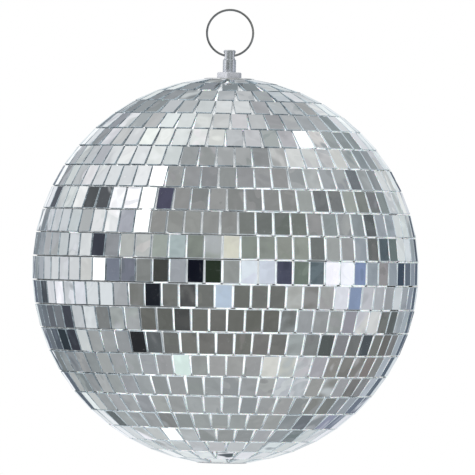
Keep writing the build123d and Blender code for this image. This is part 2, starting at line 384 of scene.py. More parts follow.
def softened(points, radii, steps=4):
    """A closed outline whose corners are rounded, each by its own radius."""
    outline = []
    for index, (point, radius) in enumerate(zip(points, radii)):
        corner = Vector(point)
        if radius == 0:
            outline.append(corner)
            continue
        before = (Vector(points[index - 1]) - corner).normalized()
        after = (Vector(points[(index + 1) % len(points)]) - corner).normalized()
        half_angle = before.angle(after) / 2
        reach = radius / math.tan(half_angle)
        centre = corner + (before + after).normalized() * (radius / math.sin(half_angle))
        start = corner + before * reach - centre
        end = corner + after * reach - centre
        for step in range(steps + 1):
            spoke = start.lerp(end, step / steps).normalized() * radius
            outline.append(centre + spoke)
    return outline


def lathe(profile, segments=96, radius_at=None):
    """Turns a closed profile of (radius, height) round the Z axis. radius_at(angle, point) may
    give the point's (radius, height) at each angle."""
    mesh = bmesh.new()
    columns = []
    axis_points = {
        index: mesh.verts.new((0, 0, point[1]))
        for index, point in enumerate(profile)
        if point[0] < SAME_POINT
    }
    for segment in range(segments):
        angle = math.tau * segment / segments
        column = []
        for index, point in enumerate(profile):
            if index in axis_points:
                column.append(axis_points[index])
                continue
            radius, height = radius_at(angle, point) if radius_at else point
            spot = (radius * math.cos(angle), radius * math.sin(angle), height)
            column.append(mesh.verts.new(spot))
        columns.append(column)
    for segment in range(segments):
        here, there = columns[segment], columns[(segment + 1) % segments]
        for index in range(len(profile)):
            after = (index + 1) % len(profile)
            corners = []
            for corner in (here[index], there[index], there[after], here[after]):
                if corner not in corners:
                    corners.append(corner)
            if len(corners) > 2:
                mesh.faces.new(corners)
    return mesh


def tube(mesh, sections):
    """Skins closed sections of equal size, and closes both ends with a fan."""
    rings = [[mesh.verts.new(point) for point in section] for section in sections]
    count = len(rings[0])
    faces = []
    for here, there in zip(rings, rings[1:]):
        for index in range(count):
            after = (index + 1) % count
            faces.append(mesh.faces.new((here[index], here[after], there[after], there[index])))
    for ring in (rings[0], rings[-1]):
        middle = mesh.verts.new(sum((vert.co for vert in ring), Vector()) / count)
        for index in range(count):
            faces.append(mesh.faces.new((ring[index], ring[(index + 1) % count], middle)))
    return faces


# ---- Mirror tiles -------------------------------------------------------------------------

ARRIS = 0.13 * MM  # width of the broken front edge
ARRIS_DEPTH = 0.8 * ARRIS
CUT_ERROR = 0.10 * MM  # how far a cut edge runs in from square
CHIP_SHARE = 0.16  # of corners
CHIP_SIZE = (0.25 * MM, 0.8 * MM)
UNDERCUT = 0.08 * MM  # the back edge lies in from the front edge
TILE_MATERIALS = (MIRROR, EDGE, BACK)
TILE_SEED = 1000


def tile_frames(node):
    """Each tile of a CAD row as (face centre, east, north, outward, width, height, depth)."""
    mesh = bmesh.new()
    mesh.from_mesh(nodes[node].data)
    bmesh.ops.remove_doubles(mesh, verts=mesh.verts, dist=SAME_POINT)
    seen = set()
    tiles = []
    for first in mesh.verts:
        if first in seen:
            continue
        seen.add(first)
        corners = [first]
        for corner in corners:  # the list grows as the tile is walked
            for edge in corner.link_edges:
                other = edge.other_vert(corner)
                if other not in seen:
                    seen.add(other)
                    corners.append(other)
        places = [corner.co.copy() for corner in corners]
        middle = sum(places, Vector()) / len(places)
        away = (middle - BALL_CENTRE).normalized()
        places.sort(key=lambda p: (p - middle).dot(away))
        back, front = places[:4], places[4:]
        face_centre = sum(front, Vector()) / 4
        back_centre = sum(back, Vector()) / 4
        outward = (face_centre - back_centre).normalized()
        rough_east = Vector((0, 0, 1)).cross(outward).normalized()
        rough_north = outward.cross(rough_east)
        rough_north_east = rough_east + rough_north
        front.sort(key=lambda p: (p - face_centre).dot(rough_north_east))
        south_west, north_east = front[0], front[3]
        others = sorted(front[1:3], key=lambda p: (p - face_centre).dot(rough_east))
        north_west, south_east = others
        east = (north_east + south_east - north_west - south_west).normalized()
        north = outward.cross(east)
        width = (south_east - south_west).length
        height = (north_west - south_west).length
        depth = (face_centre - back_centre).length
        tiles.append((face_centre, east, north, outward, width, height, depth))
    mesh.free()
    tiles.sort(key=lambda t: math.atan2(t[0].y, t[0].x))
    return tiles


def tile_outline(width, height, chance):
    """A hand-cut tile's outline, anticlockwise from the south west, with some corners chipped."""
    ideal = [(-1, -1), (1, -1), (1, 1), (-1, 1)]
    corners = []
    for side_x, side_y in ideal:
        x = side_x * (width / 2 - chance.uniform(0, CUT_ERROR))
        y = side_y * (height / 2 - chance.uniform(0, CUT_ERROR))
        corners.append(Vector((x, y)))
    outline = []
    for index, corner in enumerate(corners):
        if chance.random() < CHIP_SHARE:
            before = corners[index - 1] - corner
            after = corners[(index + 1) % 4] - corner
            outline.append(corner + before.normalized() * chance.uniform(*CHIP_SIZE))
            outline.append(corner + after.normalized() * chance.uniform(*CHIP_SIZE))
        else:
            outline.append(corner)
    return outline


def inset(outline, width, height, distance):
    """The outline drawn in by about this distance on every side."""
    scale_x = 1 - 2 * distance / width
    scale_y = 1 - 2 * distance / height
    return [Vector((p.x * scale_x, p.y * scale_y)) for p in outline]


def add_tile(mesh, tile, chance):
    """One tile: a mirror face, a fine arris, four ground edges and a painted back."""
    centre, east, north, outward, width, height, depth = tile
    outline = tile_outline(width, height, chance)
    rings = (
        (inset(outline, width, height, ARRIS), 0.0),
        (outline, -ARRIS_DEPTH),
        (inset(outline, width, height, UNDERCUT), -depth),
    )
    loops = [
        [mesh.verts.new(centre + east * p.x + north * p.y + outward * level) for p in points]
        for points, level in rings
    ]
    mesh.faces.new(loops[0])
    for outer, inner in zip(loops, loops[1:]):
        for index in range(len(outer)):
            after = (index + 1) % len(outer)
            wall = mesh.faces.new((outer[index], inner[index], inner[after], outer[after]))
            wall.material_index = TILE_MATERIALS.index(EDGE)
    back = mesh.faces.new(list(reversed(loops[-1])))
    back.material_index = TILE_MATERIALS.index(BACK)


# Glue that has risen between the tiles, and beads squeezed out under them. Levels are from the
# tiles' faces. These pairs are for the part of the ball with the least glue and the part with the
# most.
JOINT_SHARE = (0.25, 1.0)  # of the upright joints
JOINT_LOW = (-1.1 * MM, -0.45 * MM)  # the lowest crown
JOINT_HIGH = (-0.55 * MM, 0.04 * MM)
JOINT_OVERLAP = (0.06 * MM, 0.20 * MM)  # onto each tile
BEAD_SHARE = (0.05, 0.95)  # of the tiles, along their lower edge
BEAD_LOW = (-0.9 * MM, -0.5 * MM)
BEAD_HIGH = (-0.4 * MM, 0.1 * MM)
BEAD_SHORTEST = (0.5, 0.8)  # of the tile's width
# These pairs are the limits of a random draw.
JOINT_START = (-0.02, 0.06)  # of the tile's height
JOINT_END = (0.94, 1.02)
BEAD_HALF_WIDTH = (0.25 * MM, 0.48 * MM)
BEAD_DROP = (0.28 * MM, 0.42 * MM)  # from the tile's edge to the middle of the bead
THICK_LEVEL = (-0.3 * MM, 0.12 * MM)
THICK_HALF_WIDTH = (0.5 * MM, 0.7 * MM)
SWELL_FIRST = (0.85, 1.1)  # of the half width
SWELL_LIMITS = (0.7, 1.12)
SWELL_WANDER = 0.14  # at each step
CROWN_WANDER = 0.16 * MM
BEAD_LONGEST = 1.05  # of the tile's width
THICK_SHARE = 0.14  # of the beads
WIDEST_JOINT = 0.75 * MM  # half of it; near the poles a joint is a wedge
GLUE_UNDER = 0.1 * MM  # how far glue reaches in past the tiles' backs
GLUE_SECTION = ((-1, 0), (-0.9, 0.7), (-0.45, 0.97), (0.25, 1.0), (0.85, 0.78), (1, 0))
GLUE_STEPS = 9
END_SPREAD = 0.7  # a bead tapers at its ends
END_RISE = 0.6
GLUE_SEED = 2000


def glue_bead(mesh, path, widths, side, up, base, chance, levels):
    """One closed bead along a path, with a half width at each point. Its crown wanders."""
    sections = []
    crown = chance.uniform(*levels)
    swell = chance.uniform(*SWELL_FIRST)
    for index, (point, half_width) in enumerate(zip(path, widths)):
        crown = held(crown + chance.uniform(-CROWN_WANDER, CROWN_WANDER), *levels)
        swell = held(swell + chance.uniform(-SWELL_WANDER, SWELL_WANDER), *SWELL_LIMITS)
        at_end = index in (0, len(path) - 1)
        spread = half_width * swell * (END_SPREAD if at_end else 1)
        rise = (crown - base) * (END_RISE if at_end else 1)
        foot = point + up * base
        sections.append([foot + side * (x * spread) + up * (y * rise) for x, y in GLUE_SECTION])
    tube(mesh, sections)


def side_edge(tile, sign):
    """The lower and upper corner of a tile's left (-1) or right (1) edge."""
    centre, east, north, _, width, height, _ = tile
    middle = centre + east * (sign * width / 2)
    return middle - north * (height / 2), middle + north * (height / 2)


def add_joint(mesh, tile, neighbour, cover, chance):
    """The glue in the upright joint between a tile and the next one to the east."""
    right_low, right_high = side_edge(tile, 1)
    left_low, left_high = side_edge(neighbour, -1)
    low, high = (right_low + left_low) / 2, (right_high + left_high) / 2
    up = (tile[3] + neighbour[3]).normalized()
    side = (tile[1] + neighbour[1]).normalized()
    start = chance.uniform(*JOINT_START)
    end = chance.uniform(*JOINT_END)
    shares = [start + (end - start) * step / GLUE_STEPS for step in range(GLUE_STEPS + 1)]
    gaps = ((left_low - right_low).length, (left_high - right_high).length)
    overlap = between(JOINT_OVERLAP, cover)
    widths = [min(WIDEST_JOINT, between(gaps, share) / 2 + overlap) for share in shares]
    levels = (between(JOINT_LOW, cover), between(JOINT_HIGH, cover))
    if max(gaps) / 2 > WIDEST_JOINT:
        levels = JOINT_LOW
    path = [low.lerp(high, share) for share in shares]
    glue_bead(mesh, path, widths, side, up, -tile[6] - GLUE_UNDER, chance, levels)


def add_lower_bead(mesh, tile, cover, chance):
    """Glue squeezed out along part of a tile's lower edge."""
    centre, east, north, outward, width, height, depth = tile
    length = width * chance.uniform(between(BEAD_SHORTEST, cover), BEAD_LONGEST)
    middle = chance.uniform(-0.5, 0.5) * (width - length)
    drop = height / 2 + chance.uniform(*BEAD_DROP)
    path = [
        centre + east * (middle + length * (step / GLUE_STEPS - 0.5)) - north * drop
        for step in range(GLUE_STEPS + 1)
    ]
    thick = chance.random() < THICK_SHARE
    half = chance.uniform(*(THICK_HALF_WIDTH if thick else BEAD_HALF_WIDTH))
    levels = THICK_LEVEL if thick else (between(BEAD_LOW, cover), between(BEAD_HIGH, cover))
    widths = [half] * len(path)
    glue_bead(mesh, path, widths, north, outward, -depth - GLUE_UNDER, chance, levels)


def add_glue(mesh, tiles, chance):
    """The glue of one row."""
    for index, tile in enumerate(tiles):
        cover = glue_cover(tile[0])
        if chance.random() < between(JOINT_SHARE, cover):
            add_joint(mesh, tile, tiles[(index + 1) % len(tiles)], cover, chance)
        if chance.random() < between(BEAD_SHARE, cover):
            add_lower_bead(mesh, tile, cover, chance)


def make_tile_row(number):
    """The mirror tiles of one row in place of the plain CAD tiles, and the glue round them."""
    node = f"mirror_row_{number:02d}"
    tiles = tile_frames(node)
    chance = random.Random(TILE_SEED + number)
    mesh = bmesh.new()
    for tile in tiles:
        add_tile(mesh, tile, chance)
    name = f"mirror_tiles_{number:02d}"
    add_piece(name, mesh, TILE_MATERIALS, "ball", (node,))
    chance = random.Random(GLUE_SEED + number)
    mesh = bmesh.new()
    add_glue(mesh, tiles, chance)
    add_piece(f"glue_{number:02d}", mesh, (GLUE,), "ball", smooth_below=70)


for row in range(1, ROWS + 1):
    make_tile_row(row)
    coat(f"backing_strip_{row:02d}", NET)
for node in ("upper_shell", "lower_shell"):
    coat(node, CORE)
for node in ("inner_plate", "flat_washer", "spring_washer", "inner_nut"):
    coat(node, ZINC)


# ---- Post, lock nut and the covers at the poles ------------------------------------------

HEAD_LENGTH = 4.9 * MM
HEAD_RADIUS = 3.15 * MM
POST_CHAMFER = 0.5 * MM
CROSS_HOLE_RADIUS = 1.95 * MM
CROSS_HOLE_EDGE = 0.12 * MM

post_low, post_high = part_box("hanger_post")
nut_low, nut_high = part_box("lock_nut")
cap_low, cap_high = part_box("top_cap")
plug_low, plug_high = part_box("bottom_plug")
ring_low, ring_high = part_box("hanging_ring")


def make_post():
    """The turned post: a head with broken edges, a collar above the nut, and a cross hole."""
    collar = post_high.x
    shoulder = collar - HEAD_RADIUS
    head_end = post_high.z - HEAD_LENGTH
    profile = softened(
        (
            (0, post_high.z),
            (HEAD_RADIUS - POST_CHAMFER, post_high.z),
            (HEAD_RADIUS, post_high.z - POST_CHAMFER),
            (HEAD_RADIUS, head_end),
            (collar, head_end - shoulder),
            (collar, nut_high.z),
            (HEAD_RADIUS, nut_high.z),
            (HEAD_RADIUS, post_low.z + POST_CHAMFER),
            (HEAD_RADIUS - POST_CHAMFER, post_low.z),
            (0, post_low.z),
        ),
        [r * MM for r in (0, 0.18, 0.18, 0.08, 0.08, 0, 0, 0.1, 0.1, 0)],
    )
    mesh = lathe(profile, 128)
    piece = add_piece("turned_post", mesh, (CHROME,), "ball", ("hanger_post",))
    hole_z = frame["joints"][0]["pos_m"][2]
    cutter_mesh = bmesh.new()
    turn = Matrix.Translation((0, 0, hole_z)) @ Matrix.Rotation(math.pi / 2, 4, "Y")
    bmesh.ops.create_cone(
        cutter_mesh,
        cap_ends=True,
        segments=64,
        radius1=CROSS_HOLE_RADIUS,
        radius2=CROSS_HOLE_RADIUS,
        depth=4 * collar,
        matrix=turn,
    )
    cutter_data = bpy.data.meshes.new("hole_cutter")
    cutter_mesh.to_mesh(cutter_data)
    cutter_mesh.free()
    cutter = bpy.data.objects.new("hole_cutter", cutter_data)
    scene.collection.objects.link(cutter)
    drill = piece.modifiers.new("drill", "BOOLEAN")
    drill.object = cutter
    drill.operation = "DIFFERENCE"
    drill.solver = "EXACT"
    edge = piece.modifiers.new("broken_edge", "BEVEL")
    edge.limit_method = "ANGLE"
    edge.angle_limit = math.radians(50)
    edge.width = CROSS_HOLE_EDGE
    edge.segments = 2
    view = bpy.context.evaluated_depsgraph_get()
    finished = bpy.data.meshes.new_from_object(piece.evaluated_get(view))
    piece.modifiers.clear()
    piece.data = finished
    finished.name = "turned_post"
    bpy.data.objects.remove(cutter)
    finished.shade_smooth()
    finished.set_sharp_from_angle(angle=math.radians(28))


NUT_FLAT = 5.9 * MM  # from the axis to a flat
NUT_TURN = 21.5  # degrees from a corner on +X
NUT_CHAMFER = math.radians(30)
FLANK = 3 * NUT_FLAT  # stands for the hexagon's own radius in the nut's profile


def make_lock_nut():
    """A hexagon nut whose top is turned to a cone, with lightly worn corners."""
    worn_corner = NUT_FLAT / math.cos(math.radians(30)) - 0.05 * MM
    bore = HEAD_RADIUS + 0.05 * MM
    top, bottom = nut_high.z, nut_low.z

    def shape(angle, point):
        radius, height = point
        if radius < 2 * NUT_FLAT:
            return radius, height
        sector = (math.degrees(angle) - NUT_TURN) % 60 - 30
        across = min(NUT_FLAT / math.cos(math.radians(sector)), worn_corner)
        if height > 0:  # below the cone that cuts the hexagon's upper edge
            cone = (across - NUT_FLAT) * math.tan(NUT_CHAMFER)
            return across - max(radius - FLANK, 0), top - cone - height
        return across - (radius - FLANK), bottom - height

    soft = 0.08 * MM
    profile = [
        (bore, bottom),
        (FLANK + soft, 0.0),
        (FLANK, -soft),
        (FLANK, soft),
        (FLANK + soft * 0.6, soft * 0.2),
        (NUT_FLAT - soft, top),
        (bore + 0.35 * MM, top),
        (bore, top - 0.35 * MM),
    ]
    mesh = lathe(profile, 144, shape)
    replaced = ("lock_nut",)
    add_piece("hex_lock_nut", mesh, (NUT_PLATE,), "ball", replaced, smooth_below=20)


def make_top_cap():
    """The plated cover plate under the nut, with a rolled edge."""
    radius = cap_high.x
    hole = 3.35 * MM
    corners = ((hole, cap_low.z), (radius, cap_low.z), (radius, cap_high.z), (hole, cap_high.z))
    profile = softened(corners, [r * MM for r in (0, 0.1, 0.6, 0.15)], steps=7)
    mesh = lathe(profile, 160)
    add_piece("top_cover", mesh, (CAP_PLATE,), "ball", ("top_cap",), smooth_below=35)


def make_bottom_plug():
    """The push-in button: a crowned cover with a moulded recess, its stem and its barb."""
    radius, low, tip = plug_high.x, plug_low.z, plug_high.z
    seat = low + 2.3 * MM
    stem = 4.0 * MM
    barb = 4.7 * MM
    barb_low = tip - 5.21 * MM
    barb_high = barb_low + (barb - stem) / math.tan(math.radians(30))
    recess = 0.25 * MM
    profile = softened(
        (
            (0, low + recess),
            (8.6 * MM, low + recess),
            (9.0 * MM, low),
            (radius, low),
            (radius, seat),
            (stem, seat),
            (stem, barb_low),
            (barb, barb_low),
            (stem, barb_high),
            (stem, tip),
            (0, tip),
        ),
        [r * MM for r in (0, 0.1, 0.15, 0.6, 0.1, 0, 0, 0.08, 0, 0.3, 0)],
        steps=6,
    )
    mesh = lathe(profile, 160)
    replaced = ("bottom_plug",)
    add_piece("bottom_button", mesh, (PLUG,), "ball", replaced, smooth_below=35)


# ---- Split ring ---------------------------------------------------------------------------

WIRE_RADIAL = 1.1 * MM
WIRE_AXIAL = 1.2 * MM
WIRE_CORNER = 0.25 * MM
TURN_GAP = 0.07 * MM
# Angles in degrees from +X towards +Z
CROSSING_START = -29.0
CROSSING_END = 60.0
END_SPACE = 2.0  # between a cut end and the crossing
RING_STEP = 1.5  # between sections
END_LENGTH = 0.5  # over which a cut end is rounded
END_MIDDLE = 0.4  # of that length
END_SHRINK = (0.78, 0.93)  # of the wire's section, at the end and at END_MIDDLE


def make_ring():
    """One flat wire wound twice. It crosses from the front turn to the back turn on one side."""
    outer = (ring_high.x - ring_low.x) / 2
    middle = outer - WIRE_RADIAL / 2
    centre_z = (ring_high.z + ring_low.z) / 2
    offset = (WIRE_AXIAL + TURN_GAP) / 2
    along = Vector((0, 1, 0))
    half_r, half_a = WIRE_RADIAL / 2, WIRE_AXIAL / 2
    section = softened(
        ((-half_r, -half_a), (half_r, -half_a), (half_r, half_a), (-half_r, half_a)),
        [WIRE_CORNER] * 4,
        steps=3,
    )
    first = CROSSING_END + END_SPACE
    crossing_from = 360 + CROSSING_START
    crossing_to = 360 + CROSSING_END
    last = crossing_to + 360 - (CROSSING_END - CROSSING_START) - END_SPACE
    steps = round((last - first) / RING_STEP)
    stations = [first + (last - first) * index / steps for index in range(steps + 1)]
    stations[1:1] = [first + END_LENGTH * END_MIDDLE, first + END_LENGTH]
    stations[-1:-1] = [last - END_LENGTH, last - END_LENGTH * END_MIDDLE]
    sections = []
    for angle in stations:
        share = held((angle - crossing_from) / (crossing_to - crossing_from), 0.0, 1.0)
        across = offset * (2 * eased(share) - 1)
        from_end = min(angle - first, last - angle) / END_LENGTH
        shrink = 1.0
        if from_end <= 0:
            shrink = END_SHRINK[0]
        elif from_end < (END_MIDDLE + 1) / 2:
            shrink = END_SHRINK[1]
        turn = math.radians(angle)
        radial = Vector((math.cos(turn), 0, math.sin(turn)))
        spot = Vector((0, across, centre_z)) + radial * middle
        sections.append([spot + radial * (p.x * shrink) + along * (p.y * shrink) for p in section])
    mesh = bmesh.new()
    tube(mesh, sections)
    replaced = ("hanging_ring",)
    add_piece("split_ring", mesh, (SPRING_STEEL,), "ring", replaced, smooth_below=40)


make_post()
make_lock_nut()
make_top_cap()
make_bottom_plug()
make_ring()


# ---- World: what the mirrors see ----------------------------------------------------------


WINDOW_INPUTS = ("Azimuth", "Elevation", "At", "Height", "Half width", "Half height", "Soft")


def window_group():
    """A node group: 1 inside a soft-edged window of directions, 0 outside. Angles in degrees."""
    group = bpy.data.node_groups.new("direction_window", "ShaderNodeTree")
    for name in WINDOW_INPUTS:
        group.interface.new_socket(name, in_out="INPUT", socket_type="NodeSocketFloat")
    group.interface.new_socket("Mask", in_out="OUTPUT", socket_type="NodeSocketFloat")
    g = Graph(group)
    given = g.node("NodeGroupInput").outputs
    result = g.node("NodeGroupOutput")
    masks = []
    axes = (("Azimuth", "At", "Half width"), ("Elevation", "Height", "Half height"))
    for angle, centre, half in axes:
        gap = g.math("SUBTRACT", given[angle], given[centre])
        if angle == "Azimuth":
            gap = g.math("WRAP", gap, 180.0, -180.0)
        far = g.math("ABSOLUTE", gap)
        inner = g.math("SUBTRACT", given[half], given["Soft"])
        outer = g.math("ADD", given[half], given["Soft"])
        masks.append(g.ramp(far, inner, outer, 1.0, 0.0))
    g.feed(result.inputs["Mask"], g.math("MULTIPLY", masks[0], masks[1]))
    return group


